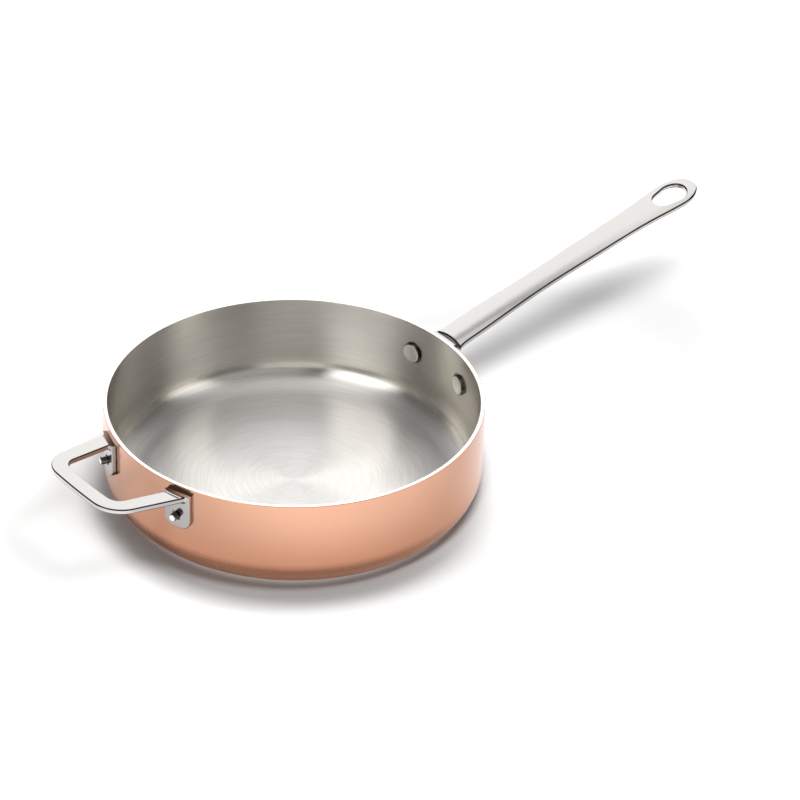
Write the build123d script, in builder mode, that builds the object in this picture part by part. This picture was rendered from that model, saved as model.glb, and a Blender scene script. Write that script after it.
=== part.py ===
"""Copper-clad saute pan with a long riveted handle and a riveted helper handle. Millimetres.

The frame's origin is the centre of the flat base's underside, +Z is up and +X runs along the long handle.
"""
import os
from math import asin, cos, degrees, radians, sin, sqrt

from build123d import *

# Pan body: three bonded plies, copper outside, aluminium in the middle, steel inside
pan_diameter = 264.0
pan_height = 71.0
base_corner_radius = 23.0
copper_thickness = 0.5
core_thickness = 1.8
liner_thickness = 0.6
rim_rounding = 0.3

pan_radius = pan_diameter / 2
wall_thickness = copper_thickness + core_thickness + liner_thickness
inner_radius = pan_radius - wall_thickness

# Clearances, and the overrun of every cut
fit_clearance = 0.1
cut_overrun = 6.0

# Rivets: a low dished head inside the pan, a shank through the wall and a short stub outside
rivet_head_diameter = 14.5
rivet_head_height = 2.1
rivet_head_edge = 0.8
rivet_dish_depth = 0.35
rivet_dish_land = 1.4
rivet_shank_diameter = 5.4
rivet_stub_length = 5.0
rivet_stub_chamfer = 0.5
rivet_recess_diameter = 7.8
rivet_recess_depth = 1.1

# Mounting plates of both handles, curved to the wall
plate_thickness = 3.1
plate_gap = fit_clearance
plate_inner = pan_radius + plate_gap
plate_outer = plate_inner + plate_thickness
plate_edge_rounding = 0.7

# Long handle: a crowned strap that rises from the rim to a hanging slot
strap_thickness = 3.8
strap_gap = 5.9
strap_projection = 233.8
strap_root_drop = 0.8
strap_rise = 50.4
strap_arch = 1.6
strap_edge_rounding = 1.2
strap_root_half_width = 13.7
strap_neck_half_width = 11.9
strap_waist_half_width = 10.4
strap_end_half_width = 15.0
strap_tip_length = 20.0
strap_flare_length = 12.0
strap_root_crown = 38.0
strap_end_crown = 150.0

strap_start = pan_radius + strap_gap
strap_reach = pan_radius + strap_projection
strap_length = strap_reach - strap_start
strap_root_height = pan_height - strap_root_drop

# Where the strap's sections stand, and the places along its sides, as shares of its length
strap_station_shares = (-0.06, 0.25, 0.5, 0.75, 1.03)
strap_shoulder_share = 0.16
strap_waist_share = 0.36
strap_middle_share = 0.56
strap_spread_share = 0.8

# Half widths there, as shares of the neck's, the waist's and the end's
strap_shoulder_width_share = 0.96
strap_middle_width_share = 1.09
strap_spread_width_share = 0.87

# Handles of the curve that flares the root, as shares of the flare's length and depth
strap_flare_start_shares = (0.17, 0.88)
strap_flare_end_share = 0.54

# A point of the rounded tip, as shares of its length and half width, and the sides' slope beside it
strap_tip_point_shares = (0.7, 0.74)
strap_end_slope_share = 0.02

# Hanging slot: the space around two circles on the strap's centre line
slot_end_radius = 9.8
slot_start_radius = 8.0
slot_end_wall = 9.0
slot_length = 27.0

slot_end_x = strap_reach - slot_end_wall - slot_end_radius
slot_start_x = strap_reach - slot_end_wall - slot_length + slot_start_radius

# Long handle's mounting plate and neck
flange_half_width = 37.5
flange_drop = 5.5
flange_depth = 28.0
flange_corner = 7.0
flange_tongue_half_width = 12.5
flange_tongue_drop = 1.0
flange_step_fillet = 1.7
neck_half_width = 10.6
neck_reach = 15.5
neck_depth = 18.0
neck_edge_rounding = 2.0
bond_depth = 0.3
long_rivet_drop = 23.6
long_rivet_spread = 27.3317

flange_top = pan_height - flange_drop
flange_bottom = flange_top - flange_depth
flange_tongue_top = pan_height - flange_tongue_drop
long_rivet_height = pan_height - long_rivet_drop
long_rivet_angle = degrees(asin(long_rivet_spread / pan_radius))

# Helper handle: a flat loop tilted up from two feet, with a bevel down to the wall where they meet
helper_thickness = 4.0
helper_bar_width = 11.7
helper_arm_width = 10.5
helper_root_width = 13.2
helper_projection = 51.6
helper_tilt = 5.7
helper_root_drop = 6.3
helper_root_spread = 41.4
helper_bar_spread = 34.6
helper_root_overlap = 12.0
helper_outer_bend = 22.0
helper_inner_bend = 9.0
helper_bow = 1.6
helper_edge_rounding = 1.1
helper_root_fillet = 2.2
foot_width = 20.5
foot_drop = 5.2
foot_depth = 26.3
foot_corner = 6.5
foot_top_corner = 2.0
foot_bevel_length = 5.6
foot_bevel_rise = 1.2
helper_rivet_drop = 21.6
helper_rivet_spread = 39.803

helper_reach = pan_radius + helper_projection
helper_root_height = pan_height - helper_root_drop
foot_top = pan_height - foot_drop
foot_bottom = foot_top - foot_depth
helper_rivet_height = pan_height - helper_rivet_drop
helper_rivet_angle = degrees(asin(helper_rivet_spread / pan_radius))

long_rivet_angles = {"left": long_rivet_angle, "right": -long_rivet_angle}
helper_rivet_angles = {"left": 180 - helper_rivet_angle, "right": 180 + helper_rivet_angle}

# Plane through the middle of the helper loop's thickness, its local X running outward along the arms
loop_tilt = radians(helper_tilt)
loop_plane = Plane(origin=(-plate_outer, 0, helper_root_height),
                   x_dir=(-cos(loop_tilt), 0, sin(loop_tilt)),
                   z_dir=(sin(loop_tilt), 0, cos(loop_tilt)))


def radial_plane(angle, height):
    """A plane whose local Z runs outward from the pan's axis, at this angle round the pan."""
    outward = Vector(cos(radians(angle)), sin(radians(angle)), 0)
    sideways = Vector(-sin(radians(angle)), cos(radians(angle)), 0)
    return Plane(origin=(0, 0, height), x_dir=sideways, z_dir=outward)


def profile_plane(angle, height):
    """An upright plane whose local X runs outward from the pan's axis, at this angle round the pan."""
    outward = Vector(cos(radians(angle)), sin(radians(angle)), 0)
    return Plane(origin=(0, 0, height), x_dir=outward, z_dir=(sin(radians(angle)), -cos(radians(angle)), 0))


def ply_profile(inset, thickness):
    """Half section of one ply of the pan: its outer face lies this far inside the pan's outside."""
    centre = (pan_radius - base_corner_radius, base_corner_radius)
    outer_bend = base_corner_radius - inset
    inner_bend = outer_bend - thickness
    outer = pan_radius - inset
    with BuildSketch(Plane.XZ) as profile:
        with BuildLine():
            base = Line((0, inset), (centre[0], inset))
            CenterArc(centre, outer_bend, -90, 90)
            wall = Line((outer, centre[1]), (outer, pan_height))
            rim = Line(wall @ 1, (outer - thickness, pan_height))
            Line(rim @ 1, (outer - thickness, centre[1]))
            CenterArc(centre, inner_bend, 0, -90)
            floor = Line((centre[0], inset + thickness), (0, inset + thickness))
            Line(floor @ 1, base @ 0)
        make_face()
    return profile.sketch


def round_sketch(angle, height, distance, radius):
    """A disc square to the radial line at this angle and height, this far from the pan's axis."""
    with BuildSketch(radial_plane(angle, height).offset(distance)) as disc:
        Circle(radius)
    return disc.sketch


def cut_shank_hole(angle, height):
    """Cut a clearance hole for a rivet's shank, from inside the pan to past the mounting plate."""
    start = inner_radius - cut_overrun
    hole = round_sketch(angle, height, start, rivet_shank_diameter / 2 + fit_clearance)
    extrude(hole, amount=plate_outer - start + cut_overrun, mode=Mode.SUBTRACT)


def cut_stub_recess(angle, height):
    """Sink a shallow round recess in a mounting plate, for the rivet's stub to stand in."""
    recess = round_sketch(angle, height, plate_outer - rivet_recess_depth, rivet_recess_diameter / 2)
    extrude(recess, amount=cut_overrun, mode=Mode.SUBTRACT)


def rivet_profile(angle, height):
    """Half section of one rivet along its radial axis: dished head, shank and chamfered stub."""
    head = rivet_head_diameter / 2
    shank = rivet_shank_diameter / 2
    seat = sqrt(inner_radius ** 2 - head ** 2) - fit_clearance
    face = seat - rivet_head_height
    dish = head - rivet_dish_land
    end = plate_outer + rivet_stub_length
    with BuildSketch(profile_plane(angle, height)) as profile:
        with BuildLine():
            hollow = TangentArc((face + rivet_dish_depth, 0), (face, dish), tangent=(0, 1))
            land = Line(hollow @ 1, (face, head - rivet_head_edge))
            rounding = CenterArc((face + rivet_head_edge, head - rivet_head_edge), rivet_head_edge, 180, -90)
            skirt = Line(rounding @ 1, (seat, head))
            under = Line(skirt @ 1, (seat, shank))
            side = Line(under @ 1, (end - rivet_stub_chamfer, shank))
            bevel = Line(side @ 1, (end, shank - rivet_stub_chamfer))
            flat = Line(bevel @ 1, (end, 0))
            Line(flat @ 1, hollow @ 0)
        make_face()
    return profile.sketch


def strap_centre(x):
    """Height of the strap's top on its centre line: a straight rise with a slight arch."""
    share = (x - strap_start) / strap_length
    return strap_root_height + strap_rise * share + 4 * strap_arch * share * (1 - share)


def strap_section(x):
    """The strap's upright section at x, wider than the strap: a band whose crown flattens toward the tip."""
    share = (x - strap_start) / strap_length
    crown = strap_root_crown + (strap_end_crown - strap_root_crown) * share ** 2
    half = strap_end_half_width + strap_edge_rounding
    drop = crown - sqrt(crown ** 2 - half ** 2)
    top = strap_centre(x)
    with BuildSketch(Plane.YZ.offset(x)) as section:
        with BuildLine():
            upper = ThreePointArc((-half, top - drop), (0, top), (half, top - drop))
            right = Line(upper @ 1, (half, top - drop - strap_thickness))
            lower = ThreePointArc(right @ 1, (0, top - strap_thickness), (-half, top - drop - strap_thickness))
            Line(lower @ 1, upper @ 0)
        make_face()
    return section.sketch


def loop_outline(side, bar_inset, corner_radius):
    """The helper loop's outer edge (side 1) or inner edge (side -1), with the bar drawn this far inside."""
    reach = (helper_reach - plate_outer) / cos(loop_tilt) - bar_inset
    root = helper_root_spread + side * helper_root_width / 2
    end = helper_bar_spread + side * helper_arm_width / 2
    with BuildSketch(loop_plane.offset(-helper_thickness / 2)) as outline:
        with BuildLine():
            bar = ThreePointArc((reach - helper_bow, end), (reach, 0), (reach - helper_bow, -end))
            Polyline(bar @ 1, (-helper_root_overlap, -root), (-helper_root_overlap, root), bar @ 0)
        make_face()
        fillet(outline.vertices().group_by(Axis.X)[-1], corner_radius)
    return outline.sketch


def cut_shank_holes():
    """Cut all four rivet holes in one ply."""
    for angle in long_rivet_angles.values():
        cut_shank_hole(angle, long_rivet_height)
    for angle in helper_rivet_angles.values():
        cut_shank_hole(angle, helper_rivet_height)


# Pan body
with BuildPart() as copper_shell:
    revolve(ply_profile(0, copper_thickness), axis=Axis.Z)
    fillet(copper_shell.edges().group_by(Axis.Z)[-1].sort_by(SortBy.RADIUS)[-1], rim_rounding)
    cut_shank_holes()
copper_shell.part.label = "copper_shell"

with BuildPart() as aluminium_core:
    revolve(ply_profile(copper_thickness, core_thickness), axis=Axis.Z)
    cut_shank_holes()
aluminium_core.part.label = "aluminium_core"

with BuildPart() as steel_liner:
    revolve(ply_profile(copper_thickness + core_thickness, liner_thickness), axis=Axis.Z)
    fillet(steel_liner.edges().group_by(Axis.Z)[-1].sort_by(SortBy.RADIUS)[0], rim_rounding)
    cut_shank_holes()
steel_liner.part.label = "steel_liner"

# Long handle's strap: a crowned band, trimmed to its outline seen from above, with the hanging slot
with BuildPart() as strap:
    loft([strap_section(strap_start + strap_length * share) for share in strap_station_shares])
    with BuildSketch(Plane.XY):
        with BuildLine():
            front = CenterArc((0, 0), strap_start, 0, degrees(asin(strap_root_half_width / strap_start)))
            corner = front @ 1
            flare_depth = strap_root_half_width - strap_neck_half_width
            flare = Bezier(corner,
                           (corner.X + strap_flare_length * strap_flare_start_shares[0],
                            corner.Y - flare_depth * strap_flare_start_shares[1]),
                           (strap_start + strap_flare_length * strap_flare_end_share, strap_neck_half_width),
                           (strap_start + strap_flare_length, strap_neck_half_width))
            side = Spline(flare @ 1,
                          (strap_start + strap_length * strap_shoulder_share,
                           strap_neck_half_width * strap_shoulder_width_share),
                          (strap_start + strap_length * strap_waist_share, strap_waist_half_width),
                          (strap_start + strap_length * strap_middle_share,
                           strap_waist_half_width * strap_middle_width_share),
                          (strap_start + strap_length * strap_spread_share,
                           strap_end_half_width * strap_spread_width_share),
                          (strap_reach - strap_tip_length, strap_end_half_width),
                          tangents=((1, 0), (1, strap_end_slope_share)))
            tip = Spline(side @ 1,
                         (strap_reach - strap_tip_length * (1 - strap_tip_point_shares[0]),
                          strap_end_half_width * strap_tip_point_shares[1]),
                         (strap_reach, 0),
                         tangents=(side % 1, (0, -1)))
            Line(tip @ 1, front @ 0)
        make_face()
        mirror(about=Plane.XZ)
    extrude(amount=pan_height + strap_rise + cut_overrun, mode=Mode.INTERSECT)
    with BuildSketch(Plane.XY):
        with Locations((slot_end_x, 0)):
            Circle(slot_end_radius)
        with Locations((slot_start_x, 0)):
            Circle(slot_start_radius)
        make_hull()
    extrude(amount=pan_height + strap_rise + cut_overrun, mode=Mode.SUBTRACT)
    fillet(strap.edges().filter_by(GeomType.LINE, reverse=True), strap_edge_rounding)

# Long handle's mounting plate: curved to the wall, with a raised tongue in the middle
with BuildPart() as long_plate:
    with BuildSketch(Plane.XY.offset(flange_bottom)):
        Circle(plate_outer)
        Circle(plate_inner, mode=Mode.SUBTRACT)
    extrude(amount=flange_tongue_top - flange_bottom)
    with BuildSketch(Plane.YZ):
        with BuildLine():
            edge = FilletPolyline((0, flange_bottom),
                                  (flange_half_width, flange_bottom),
                                  (flange_half_width, flange_top),
                                  (flange_tongue_half_width, flange_top),
                                  (flange_tongue_half_width, flange_tongue_top),
                                  (0, flange_tongue_top),
                                  radius=[flange_corner, flange_corner, flange_step_fillet, flange_step_fillet])
            Line(edge @ 1, edge @ 0)
        make_face()
        mirror(about=Plane.YZ)
    extrude(amount=pan_diameter, mode=Mode.INTERSECT)
    fillet(long_plate.edges(), plate_edge_rounding)

# Long handle's neck: from the plate up into the strap's underside, hollowed by an arc below
with BuildPart() as neck:
    ledge_end = strap_start + strap_edge_rounding
    under_end = plate_outer + neck_reach
    with BuildSketch(Plane.XZ):
        with BuildLine():
            ledge = Line((plate_inner + bond_depth, flange_tongue_top),
                         (ledge_end, strap_centre(ledge_end) - strap_thickness + bond_depth))
            inside = Line(ledge @ 1, (under_end, strap_centre(under_end) - strap_thickness + bond_depth))
            under = TangentArc(inside @ 1, (plate_outer - bond_depth, pan_height - neck_depth),
                               tangent=inside % 1 * -1)
            back = Line(under @ 1, (plate_inner + bond_depth, pan_height - neck_depth))
            Line(back @ 1, ledge @ 0)
        make_face()
    extrude(amount=neck_half_width, both=True)
    fillet(neck.edges().filter_by(GeomType.CIRCLE), neck_edge_rounding)

# Long handle: strap, plate and neck in one piece, with the rivet holes and their recesses
with BuildPart() as long_handle:
    add(strap.part)
    add(long_plate.part)
    add(neck.part)
    for rivet_angle in long_rivet_angles.values():
        cut_shank_hole(rivet_angle, long_rivet_height)
        cut_stub_recess(rivet_angle, long_rivet_height)
long_handle.part.label = "long_handle"

# Helper handle's feet: plates curved to the wall, left long at the top for the bevel to trim
with BuildPart() as feet:
    for rivet_angle in helper_rivet_angles.values():
        with BuildSketch(radial_plane(rivet_angle, 0)):
            with BuildLine():
                edge = FilletPolyline((0, foot_bottom),
                                      (foot_width / 2, foot_bottom),
                                      (foot_width / 2, pan_height),
                                      (0, pan_height),
                                      radius=[foot_corner, foot_top_corner])
                Line(edge @ 1, edge @ 0)
            make_face()
            mirror(about=Plane.YZ)
        extrude(amount=pan_diameter)
    with BuildSketch(Plane.XY.offset(foot_bottom)):
        Circle(plate_outer)
        Circle(plate_inner, mode=Mode.SUBTRACT)
    extrude(amount=pan_height - foot_bottom, mode=Mode.INTERSECT)
    fillet(feet.edges(), plate_edge_rounding)

# Helper handle's loop: a flat bowed bar on two arms, tilted up away from the pan
with BuildPart() as loop:
    extrude(loop_outline(1, 0, helper_outer_bend), amount=helper_thickness)
    extrude(loop_outline(-1, helper_bar_width, helper_inner_bend), amount=helper_thickness, mode=Mode.SUBTRACT)
    across = loop.faces().sort_by(Axis(loop_plane.origin, loop_plane.z_dir))
    fillet(across[0].edges() + across[-1].edges(), helper_edge_rounding)
    with BuildSketch(Plane.XY):
        Circle(plate_inner + bond_depth)
    extrude(amount=pan_height + cut_overrun, mode=Mode.SUBTRACT)

# Helper handle: feet and loop in one piece, with the bevel, the rivet holes and their recesses
with BuildPart() as helper_handle:
    add(feet.part)
    add(loop.part)
    fillet(new_edges(feet.part, loop.part, combined=helper_handle.part), helper_root_fillet)
    with BuildSketch(Plane.XZ):
        with BuildLine():
            Polyline((plate_inner - cut_overrun, foot_top),
                     (plate_inner, foot_top),
                     (plate_inner + foot_bevel_length, foot_top + foot_bevel_rise),
                     (plate_inner + foot_bevel_length, pan_height + cut_overrun),
                     (plate_inner - cut_overrun, pan_height + cut_overrun),
                     (plate_inner - cut_overrun, foot_top))
        make_face()
    revolve(axis=Axis.Z, mode=Mode.SUBTRACT)
    for rivet_angle in helper_rivet_angles.values():
        cut_shank_hole(rivet_angle, helper_rivet_height)
        cut_stub_recess(rivet_angle, helper_rivet_height)
helper_handle.part.label = "helper_handle"

# Rivets, the same at both handles
rivets = {}
for handle, rivet_angles, rivet_height in (("long_handle", long_rivet_angles, long_rivet_height),
                                           ("helper_handle", helper_rivet_angles, helper_rivet_height)):
    for rivet_side, rivet_angle in rivet_angles.items():
        rivet_name = f"{handle}_rivet_{rivet_side}"
        with BuildPart() as rivet:
            shaft = Axis((0, 0, rivet_height), (cos(radians(rivet_angle)), sin(radians(rivet_angle)), 0))
            revolve(rivet_profile(rivet_angle, rivet_height), axis=shaft)
        rivet.part.label = rivet_name
        rivets[rivet_name] = rivet.part

# One file for each piece
pieces = {"copper_shell": copper_shell.part,
          "aluminium_core": aluminium_core.part,
          "steel_liner": steel_liner.part,
          "long_handle": long_handle.part,
          "helper_handle": helper_handle.part,
          **rivets}
os.makedirs("parts", exist_ok=True)
for piece_name, piece in pieces.items():
    export_step(piece, f"parts/{piece_name}.step")
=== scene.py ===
"""Looks of the copper-clad saute pan, dressed on its CAD pieces. Metres, in the CAD frame.

The pan stands on a pale studio floor with its long handle along +X, and the camera looks at it from the
helper handle's side. Every visible piece is a CAD piece with a finish of its own.
"""

import math

import bpy
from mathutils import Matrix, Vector


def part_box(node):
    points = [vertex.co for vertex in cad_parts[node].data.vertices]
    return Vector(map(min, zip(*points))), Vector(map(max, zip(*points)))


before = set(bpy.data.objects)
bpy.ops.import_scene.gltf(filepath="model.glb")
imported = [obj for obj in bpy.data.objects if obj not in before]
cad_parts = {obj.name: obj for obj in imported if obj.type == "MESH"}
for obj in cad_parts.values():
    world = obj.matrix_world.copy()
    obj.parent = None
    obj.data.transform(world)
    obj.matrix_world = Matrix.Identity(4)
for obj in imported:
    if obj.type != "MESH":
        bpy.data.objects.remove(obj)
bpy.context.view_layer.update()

# Camera: a long lens, well back and about a third of a right angle above the floor
CAMERA_PLACE = (-1.3066, -1.7214, 1.4858)
CAMERA_TURN = (56.779, -1.273, -38.304)
CAMERA_LENS = 168.2
SENSOR_WIDTH = 36.0

# The pan's own places, read from the CAD pieces
PAN_PLIES = ["copper_shell", "aluminium_core", "steel_liner"]
RIVETS = [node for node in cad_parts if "_rivet_" in node]
LINER_THICKNESS = 0.0006
WALL_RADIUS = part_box("steel_liner")[1].y - LINER_THICKNESS

# Heights over which the wall rounds into the base: outside, on the copper, and inside, on the steel
COPPER_ROUND = (0.003, 0.02)
# Painted shade on the copper: the heights over which it fades out up the wall
COPPER_SHADE_HEIGHTS = (0.0, 0.062)
COPPER_DULL = (0.002, 0.026)
STEEL_ROUND = (0.004, 0.014)

# The painted shade round each rivet head on the pan's wall: where it fades past the head's edge, and how dark
# it starts
RIVET_SHADE_FADE = (0.0004, 0.0015)
RIVET_SHADE_DEPTH = 0.85

# Colours: linear red, green and blue, and an alpha of 1
# Painted shade: the copper deepens towards the base, where it reflects the shadowed floor and its own bounced
# light
COPPER_PAINTED_SHADE = (0.54, 0.24, 0.14, 1)
COPPER_WARM = (0.57, 0.315, 0.215, 1)
# Painted light: the copper's round below the wall made bright, where it looks into its own shadow
COPPER_PAINTED_LIGHT = (0.95, 0.54, 0.38, 1)
STEEL_GREY = (0.75, 0.733, 0.708, 1)
STEEL_PALE = (0.81, 0.796, 0.777, 1)
# Painted reflection: the wall darker and warmer than the floor, as the pan's walls reflect each other
WALL_PAINTED_REFLECTION = (0.88, 0.867, 0.826, 1)
# Painted shade round the rivet heads on the pan's wall
RIVET_PAINTED_SHADE = (0.12, 0.11, 0.10, 1)
HANDLE_STEEL = (0.43, 0.418, 0.406, 1)
# Painted dark reflection on the handles' rounded edges
HANDLE_PAINTED_REFLECTION = (0.05, 0.045, 0.04, 1)
RIVET_STEEL = (0.95, 0.93, 0.90, 1)
# Painted dark reflection where a rivet head or stub rounds over
RIVET_PAINTED_REFLECTION = (0.14, 0.13, 0.12, 1)
ALUMINIUM = (0.80, 0.80, 0.80, 1)
FLOOR_GREY = (0.3, 0.3, 0.3, 1)
WHITE = (1.0, 1.0, 1.0, 1.0)

# Floor: a broad patch round the pan and its shadows takes the lights, and beyond it the floor glows white
FLOOR_SIZE = 14.0
FLOOR_GAP = 0.0001
PATCH_MIDDLE = (0.08, 0.02)
PATCH_ALONG, PATCH_LEFT, PATCH_RIGHT = 0.34, 0.13, 0.2

# Soft lights: name, place, aim, size, power, spread in degrees, and the pieces that throw its shadow, or None
# for all of them
LIGHTS = (
    ("top_light", (0.05, 0.06, 1.05), (-0.24, -0.08, 0), 0.28, 3.0, 60.0, PAN_PLIES),
    ("side_light", (-0.05, -0.28, 0.5), (0.42, 0.12, 0), 0.16, 2.9, 74.0, None),
    ("faint_light", (-0.05, -0.28, 0.5), (-0.22, 0.03, 0), 0.16, 0.5, 80.0, None),
)

# The room's tall panels of light: way round the pan, half width and soft edge in degrees, brightness
BACKDROP = (52.8, 28.0, 24.0, 1.8)
FRONT_BOXES = ((188.0, 10.0, 18.0, 2.1), (262.0, 24.0, 24.0, 0.3), (301.0, 6.0, 12.0, 1.05))
ROOM_GLOW = 0.13


class Flow:
    """One socket of a node tree. Python arithmetic on it adds Math nodes."""

    def __init__(self, tree, socket=None):
        self.tree = tree
        self.socket = socket

    def node(self, kind, settings=None, inputs=None, output=0):
        """Add a node: its settings first, then the values or links of its sockets."""
        made = self.tree.nodes.new("ShaderNode" + kind)
        for name, value in (settings or {}).items():
            setattr(made, name, value)
        for name, value in (inputs or {}).items():
            if isinstance(value, Flow):
                self.tree.links.new(value.socket, made.inputs[name])
            else:
                made.inputs[name].default_value = value
        return Flow(self.tree, made.outputs[output])

    def math(self, operation, *values):
        """One Math node on these values."""
        return self.node("Math", {"operation": operation}, dict(enumerate(values)))

    def vector(self, operation, *others, output=0):
        """One Vector Math node on this vector and the others."""
        return self.node("VectorMath", {"operation": operation}, dict(enumerate((self, *others))), output)

    def split(self):
        """The X, Y and Z parts of this vector."""
        parts = self.node("SeparateXYZ", inputs={"Vector": self})
        return [Flow(self.tree, socket) for socket in parts.socket.node.outputs]

    def fade(self, start, end, low, high):
        """A smooth run from low to high while this value goes from start to end."""
        return self.node("MapRange", {"interpolation_type": "SMOOTHSTEP"},
                         {"Value": self, "From Min": start, "From Max": end, "To Min": low, "To Max": high})

    def __add__(self, other):
        return self.math("ADD", self, other)

    def __radd__(self, other):
        return self.math("ADD", other, self)

    def __sub__(self, other):
        return self.math("SUBTRACT", self, other)

    def __rsub__(self, other):
        return self.math("SUBTRACT", other, self)

    def __mul__(self, other):
        return self.math("MULTIPLY", self, other)

    def __rmul__(self, other):
        return self.math("MULTIPLY", other, self)

    def __truediv__(self, other):
        return self.math("DIVIDE", self, other)

    def __pow__(self, other):
        return self.math("POWER", self, other)


def new_finish(name, **settings):
    """A material with these values on its shader. Returns it, its shader and a Flow to build on."""
    material = bpy.data.materials.new(name)
    material.use_nodes = True
    shader = material.node_tree.nodes["Principled BSDF"]
    for socket, value in settings.items():
        shader.inputs[socket.replace("_", " ")].default_value = value
    return material, shader, Flow(material.node_tree)


def link(shader, socket, flow):
    """Let this flow feed one of the shader's sockets."""
    flow.tree.links.new(flow.socket, shader.inputs[socket])


def place_on_piece(flow):
    """Where the surface is, in the CAD frame."""
    return flow.node("TexCoord", output=3)


def facing_of_piece(flow):
    """Which way the surface faces, in the CAD frame."""
    return flow.node("TexCoord", output=1)


def blend(share, first, second, way="MIX"):
    """The first colour with this share of the second."""
    return share.node("Mix", {"data_type": "RGBA", "blend_type": way},
                      {0: share, 6: first, 7: second}, output=2)


def ring_grooves(flow, fineness, run):
    """Noise drawn out around the pan's axis: fine up the wall and across the floor, long along each ring."""
    x, y, z = place_on_piece(flow).split()
    radius = (x * x + y * y) ** 0.5
    across = flow.node("CombineXYZ",
                       inputs={"X": x / radius * run, "Y": y / radius * run, "Z": radius * fineness})
    return flow.node("TexNoise", {"noise_dimensions": "4D"},
                     {"Vector": across, "W": z * fineness, "Scale": 1.0, "Detail": 2.0})


def turned_facing(flow):
    """Which way the surface faces, made exact around the pan's axis wherever it was turned on that axis.

    The mesh has a seam up the wall, where its own smooth shading breaks. The walls of the rivet holes weren't
    turned on the axis, and keep their own facing.
    """
    facing = facing_of_piece(flow)
    inward = place_on_piece(flow).vector("MULTIPLY", (-1, -1, 0)).vector("NORMALIZE")
    lean = facing.vector("DOT_PRODUCT", inward, output=1)
    level = flow.node("VectorMath", {"operation": "SCALE"}, {0: inward, "Scale": lean})
    upright = facing.vector("MULTIPLY", (0, 0, 1))
    exact = level.vector("ADD", upright).vector("NORMALIZE")
    rise = facing.split()[2]
    turned = (lean * lean + rise * rise).fade(0.9, 0.98, 0.0, 1.0)
    return flow.node("Mix", {"data_type": "VECTOR"}, {0: turned, 4: facing, 5: exact}, output=1)


def rivet_painted_shade(flow, rivet):
    """How dark the painted shade on the pan's wall is round this rivet's head: most at its edge, and nothing
    just outside it.
    """
    low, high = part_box(rivet)
    middle = (low + high) / 2
    head_radius = (high.z - low.z) / 2
    on_wall = Vector((middle.x, middle.y, 0)).normalized() * WALL_RADIUS
    away = place_on_piece(flow).vector("DISTANCE", (on_wall.x, on_wall.y, middle.z), output=1)
    start, end = (head_radius + past for past in RIVET_SHADE_FADE)
    return away.fade(start, end, RIVET_SHADE_DEPTH, 0.0)


def copper_finish():
    """Polished copper, duller towards the base, with painted shade deepening its colour towards the base and a
    painted light on the round below the wall.
    """
    material, shader, flow = new_finish("polished_copper", Metallic=1.0)
    height = place_on_piece(flow).split()[2]
    # Painted shade deepens the copper towards the base, and painted light brightens the round below the wall
    tint_with_painted_light = blend(height.fade(*COPPER_SHADE_HEIGHTS, 0.0, 1.0), COPPER_PAINTED_SHADE, COPPER_WARM)
    tint_with_painted_light = blend(height.fade(*COPPER_ROUND, 1.0, 0.0), tint_with_painted_light, COPPER_PAINTED_LIGHT)
    link(shader, "Base Color", tint_with_painted_light)
    link(shader, "Roughness", height.fade(*COPPER_DULL, 0.5, 0.18))
    link(shader, "Normal", turned_facing(flow))
    return material


def brushed_steel_finish():
    """The pan's inside: steel brushed in rings, so its shine fans out from the middle."""
    material, shader, flow = new_finish("brushed_steel", Metallic=1.0, Anisotropic=0.8,
                                        Anisotropic_Rotation=0.25)
    height = place_on_piece(flow).split()[2]
    fine = ring_grooves(flow, 2500.0, 6.0)
    broad = ring_grooves(flow, 900.0, 3.0)
    tint_with_painted_light = blend(broad.fade(0.35, 0.65, 0.0, 1.0), STEEL_GREY, STEEL_PALE)
    # Painted reflection: the wall is made darker and warmer than the floor
    tint_with_painted_light = blend(height.fade(*STEEL_ROUND, 0.0, 1.0), tint_with_painted_light, WALL_PAINTED_REFLECTION, way="MULTIPLY")
    # Painted shade round each rivet head
    for rivet in RIVETS:
        tint_with_painted_light = blend(rivet_painted_shade(flow, rivet), tint_with_painted_light, RIVET_PAINTED_SHADE, way="MULTIPLY")
    link(shader, "Base Color", tint_with_painted_light)
    link(shader, "Roughness", fine * 0.16 + height.fade(*STEEL_ROUND, 0.36, 0.12))
    grooves = flow.node("Bump", inputs={"Strength": 0.1, "Distance": 0.0001, "Height": fine + broad * 0.3,
                                        "Normal": turned_facing(flow)})
    link(shader, "Normal", grooves)
    return material


def polished_steel_finish():
    """Both handles: polished cast steel, with a painted dark reflection on its rounded edges."""
    material, shader, flow = new_finish("polished_steel", Metallic=1.0, Roughness=0.1)
    upright = flow.math("ABSOLUTE", facing_of_piece(flow).split()[2])
    off_the_top = upright.fade(0.94, 0.84, 0.0, 1.0)
    off_the_side = upright.fade(0.12, 0.3, 0.0, 1.0)
    # Painted dark reflection where the handle rounds over between its top and its sides
    link(shader, "Base Color", blend(off_the_top * off_the_side, HANDLE_STEEL, HANDLE_PAINTED_REFLECTION))
    return material


def rivet_finish():
    """Bright rivets, with a painted dark reflection where a head or a stub rounds over from its flat end."""
    material, shader, flow = new_finish("rivet_steel", Metallic=1.0, Roughness=0.22)
    outward = place_on_piece(flow).vector("MULTIPLY", (1, 1, 0)).vector("NORMALIZE")
    flatness = flow.math("ABSOLUTE", facing_of_piece(flow).vector("DOT_PRODUCT", outward, output=1))
    # Painted dark reflection on the rounded rims
    link(shader, "Base Color", blend(flatness.fade(0.97, 0.8, 0.0, 1.0), RIVET_STEEL, RIVET_PAINTED_REFLECTION))
    return material


def core_finish():
    """The middle ply, bare aluminium that shows only as a line at the rim."""
    return new_finish("aluminium", Base_Color=ALUMINIUM, Metallic=1.0, Roughness=0.2)[0]


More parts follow.
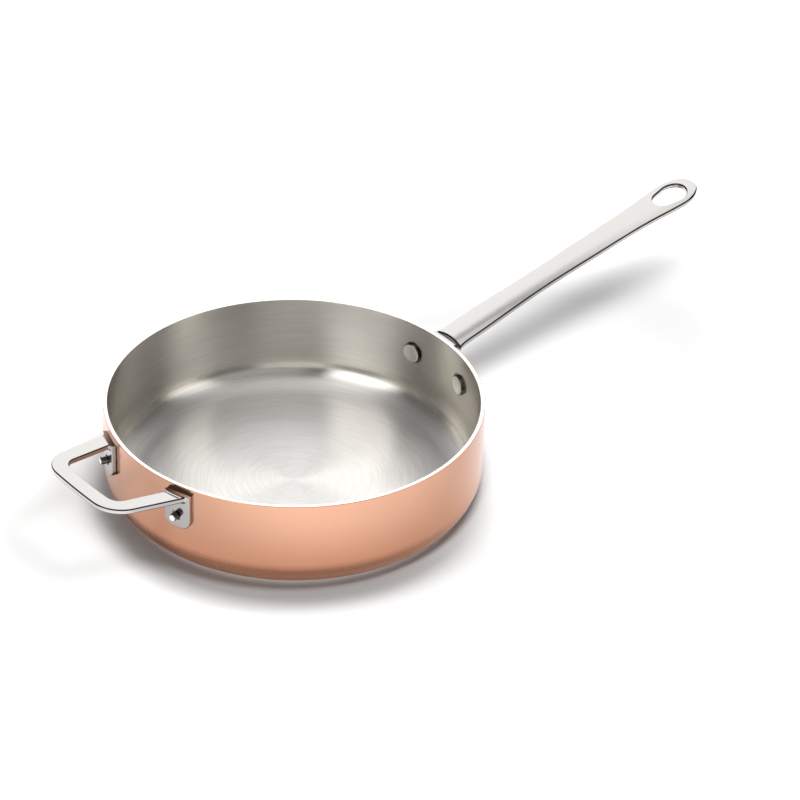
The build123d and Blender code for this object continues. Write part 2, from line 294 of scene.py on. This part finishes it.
def dress(node, material):
    """Give a CAD node this material."""
    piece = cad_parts[node]
    piece.data.materials.clear()
    piece.data.materials.append(material)


def dress_pan():
    """Give every CAD node its finish."""
    dress("copper_shell", copper_finish())
    dress("aluminium_core", core_finish())
    dress("steel_liner", brushed_steel_finish())
    handle_steel = polished_steel_finish()
    dress("long_handle", handle_steel)
    dress("helper_handle", handle_steel)
    rivet_steel = rivet_finish()
    for rivet in RIVETS:
        dress(rivet, rivet_steel)


def floor_glow(flow):
    """The floor's own light: none round the pan, white far out, and a little under the pan and beside it."""
    x, y = place_on_piece(flow).split()[:2]
    middle_x, middle_y = PATCH_MIDDLE
    aside = flow.math("MAXIMUM", (y - middle_y) / PATCH_LEFT, (middle_y - y) / PATCH_RIGHT)
    away = (((x - middle_x) / PATCH_ALONG) ** 2.0 + aside * aside) ** 0.5
    radius = (x * x + y * y) ** 0.5
    far_out = away.fade(0.78, 1.35, 0.0, 0.95)
    under_pan = radius.fade(0.108, 0.124, 0.5, 0.0)
    beside_pan = radius.fade(0.15, 0.24, 0.03, 0.0)
    return far_out + under_pan + beside_pan


def studio_floor():
    """A pale floor that takes the lights near the pan and glows further out, so that its far side stays white.

    It is clear from below, so the pan's underside can be seen.
    """
    bpy.ops.object.select_all(action="DESELECT")
    bpy.ops.mesh.primitive_plane_add(size=FLOOR_SIZE, location=(0, 0, -FLOOR_GAP))
    floor = bpy.context.object
    floor.name = "studio_floor"
    material, shader, flow = new_finish("white_floor", Base_Color=FLOOR_GREY, Roughness=1.0,
                                        Specular_IOR_Level=0.0, Emission_Strength=1.0)
    link(shader, "Emission Color", floor_glow(flow))
    below = flow.node("NewGeometry", output=6)
    clear = flow.node("BsdfTransparent")
    seen = flow.node("MixShader", inputs={0: below, 1: Flow(flow.tree, shader.outputs[0]), 2: clear})
    link(material.node_tree.nodes["Material Output"], "Surface", seen)
    floor.data.materials.append(material)


def area_light(name, place, aim, size, power, spread, blockers):
    """A soft square light on the floor and the pan's dull side, left out of the metal's reflections.

    With blockers, only those pieces throw its shadow.
    """
    light = bpy.data.lights.new(name, "AREA")
    light.shape = "SQUARE"
    light.size = size
    light.energy = power
    light.spread = math.radians(spread)
    holder = bpy.data.objects.new(name, light)
    holder.location = place
    holder.rotation_euler = (Vector(aim) - Vector(place)).to_track_quat("-Z", "Y").to_euler()
    holder.visible_camera = False
    holder.visible_glossy = False
    bpy.context.scene.collection.objects.link(holder)
    if blockers:
        group = bpy.data.collections.new(name + "_blockers")
        for node in blockers:
            group.objects.link(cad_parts[node])
        holder.light_linking.blocker_collection = group


def studio_room():
    """The room's light in each direction: a bright backdrop, soft boxes in front, dark gaps between them."""
    world = bpy.data.worlds.new("studio")
    bpy.context.scene.world = world
    world.use_nodes = True
    flow = Flow(world.node_tree)
    east, north, height = flow.node("TexCoord", output=0).split()
    level = (east * east + north * north + 0.0001) ** 0.5

    def panel(angle, half_wide, edge, bright):
        """A tall soft panel of light centred this way round, fading out over its edge."""
        turn, half, outer = (math.radians(a) for a in (angle, half_wide, half_wide + edge))
        facing = (east * math.cos(turn) + north * math.sin(turn)) / level
        return facing.fade(math.cos(outer), math.cos(half), 0.0, bright)

    backdrop = panel(*BACKDROP) * height.fade(0.74, 0.96, 1.0, 0.2)
    left_box, middle_box, right_box = (panel(*box) for box in FRONT_BOXES)
    front_boxes = (left_box + middle_box + right_box) * height.fade(0.7, 0.9, 1.0, 0.1)
    overhead = height.fade(0.88, 0.95, 0.0, 0.9)
    room = ROOM_GLOW + overhead + backdrop + front_boxes
    seen = flow.node("LightPath", output=0)
    background = world.node_tree.nodes["Background"]
    link(background, "Color", blend(seen, room, WHITE))
    background.inputs["Strength"].default_value = 1.0


def camera():
    """The photo's view of the pan."""
    view = bpy.data.cameras.new("camera")
    view.sensor_width = SENSOR_WIDTH
    view.lens = CAMERA_LENS
    holder = bpy.data.objects.new("camera", view)
    holder.location = CAMERA_PLACE
    holder.rotation_euler = [math.radians(a) for a in CAMERA_TURN]
    bpy.context.scene.collection.objects.link(holder)
    bpy.context.scene.camera = holder


bpy.context.scene.view_settings.view_transform = "Standard"
camera()
studio_floor()
studio_room()
for light in LIGHTS:
    area_light(*light)
dress_pan()
